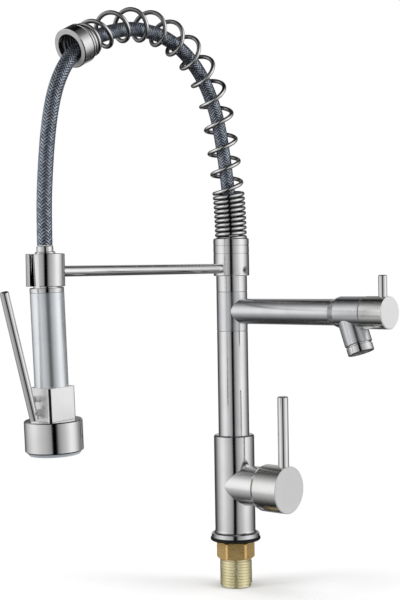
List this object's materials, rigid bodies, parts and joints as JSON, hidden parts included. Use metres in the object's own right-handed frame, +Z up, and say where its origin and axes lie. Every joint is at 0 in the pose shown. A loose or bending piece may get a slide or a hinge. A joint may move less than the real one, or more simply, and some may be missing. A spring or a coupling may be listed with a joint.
{
  "type": "pull-out kitchen faucet",
  "caption": "Tall kitchen faucet with a spring-guided pull-out spray on a docking arm, a swivelling pot-filler spout with its own valve, and a side lever mixer.",
  "frame": {"origin": "centre of the deck hole on the deck plane, where the gasket's underside rests", "axes": "+Z up the column, -Y towards the user and the spray head, +X towards the mixer handle and the pot-filler arm"},
  "size_m": [0.2217, 0.3348, 0.5826],
  "materials": {
    "satin_nickel": "satin",
    "polished_nickel": "polished",
    "machined_brass": "machined",
    "threaded_brass": "threaded",
    "black_rubber": "matte",
    "woven_braid": "woven",
    "valve_plastic": "moulded",
    "spray_plastic": "moulded",
    "jet_silicone": "moulded",
    "stainless_steel": "bright"
  },
  "bodies": {
    "base": {"shank": "threaded_brass", "mounting_nut": "machined_brass", "base_gasket": "black_rubber", "base_ring": "satin_nickel", "mixer_body": "satin_nickel", "cartridge_body": "valve_plastic", "cartridge_seals": "black_rubber", "bonnet_nut": "machined_brass", "riser_tube": "satin_nickel", "riser_seal": "black_rubber", "core_pipe": "machined_brass", "swivel_seals": "black_rubber", "upper_tube": "satin_nickel", "retaining_nut": "machined_brass", "hose_nut": "machined_brass"},
    "mixer_spindle": {"cartridge_spindle": "stainless_steel", "stem_pin": "stainless_steel"},
    "mixer_handle": {"cartridge_stem": "stainless_steel", "handle_cap": "polished_nickel", "handle_lever": "polished_nickel", "handle_grub_screw": "stainless_steel"},
    "filler_arm": {"swivel_tee": "satin_nickel", "valve_body": "satin_nickel", "aerator_housing": "satin_nickel", "aerator_washer": "black_rubber", "aerator_insert": "valve_plastic", "valve_cartridge": "valve_plastic"},
    "filler_knob": {"valve_spindle": "machined_brass", "valve_knob": "polished_nickel", "knob_pin": "polished_nickel", "knob_grub_screw": "stainless_steel"},
    "neck": {"dock_sleeve": "satin_nickel", "dock_set_screw": "stainless_steel", "dock_rod": "polished_nickel", "dock_clip": "polished_nickel", "neck_ring": "satin_nickel", "spring_seat": "satin_nickel", "neck_spring": "polished_nickel", "end_collar": "polished_nickel", "hose_arch": "woven_braid", "hose_drop": "woven_braid"},
    "spray_head": {"hose_ferrule": "polished_nickel", "spray_neck": "polished_nickel", "grip_ring": "satin_nickel", "grip_tube": "satin_nickel", "inner_tube": "machined_brass", "valve_block": "satin_nickel", "nozzle_collar": "satin_nickel", "face_plate": "spray_plastic", "nozzle_set": "jet_silicone", "lever_lug": "stainless_steel", "plunger_spring": "stainless_steel"},
    "spray_trigger": {"spray_lever": "polished_nickel", "lever_pin": "stainless_steel"},
    "spray_plunger": {"plunger": "stainless_steel"}
  },
  "joints": [
    {"name": "temperature_turn", "type": "hinge", "parent": "base", "child": "mixer_spindle", "pos_m": [0.0285, 0, 0.058], "axis": [1, 0, 0], "range_deg": [-45, 45]},
    {"name": "flow_tilt", "type": "hinge", "parent": "mixer_spindle", "child": "mixer_handle", "pos_m": [0.0285, 0, 0.058], "axis": [0, 1, 0], "range_deg": [0, 25]},
    {"name": "arm_swivel", "type": "hinge", "parent": "base", "child": "filler_arm", "pos_m": [0, 0, 0.2383], "axis": [0, 0, 1], "continuous": true},
    {"name": "filler_valve_turn", "type": "hinge", "parent": "filler_arm", "child": "filler_knob", "pos_m": [0.18, 0, 0.2383], "axis": [1, 0, 0], "range_deg": [0, 90]},
    {"name": "neck_swivel", "type": "hinge", "parent": "base", "child": "neck", "pos_m": [0, 0, 0.29], "axis": [0, 0, 1], "continuous": true},
    {"name": "spray_pull", "type": "slide", "parent": "neck", "child": "spray_head", "axis": [0, 0.0401, -0.9992], "range_m": [0, 0.07], "stiffness_N_per_m": 60, "springref_m": -0.25, "deforming": ["hose_drop"]},
    {"name": "trigger_press", "type": "hinge", "parent": "spray_head", "child": "spray_trigger", "pos_m": [-0.00118, -0.27538, 0.15639], "axis": [-0.9986, 0.0523, 0.0021], "range_deg": [0, 10], "stiffness_Nm_per_rad": 0.4, "springref_deg": -11.46},
    {"name": "plunger_slide", "type": "slide", "parent": "spray_head", "child": "spray_plunger", "axis": [0.0523, 0.9978, 0.0401], "range_m": [0, 0.0017]}
  ],
  "couplings": [
    {"joint": "plunger_slide", "follows": "trigger_press", "m_per_rad": 0.0094}
  ]
}
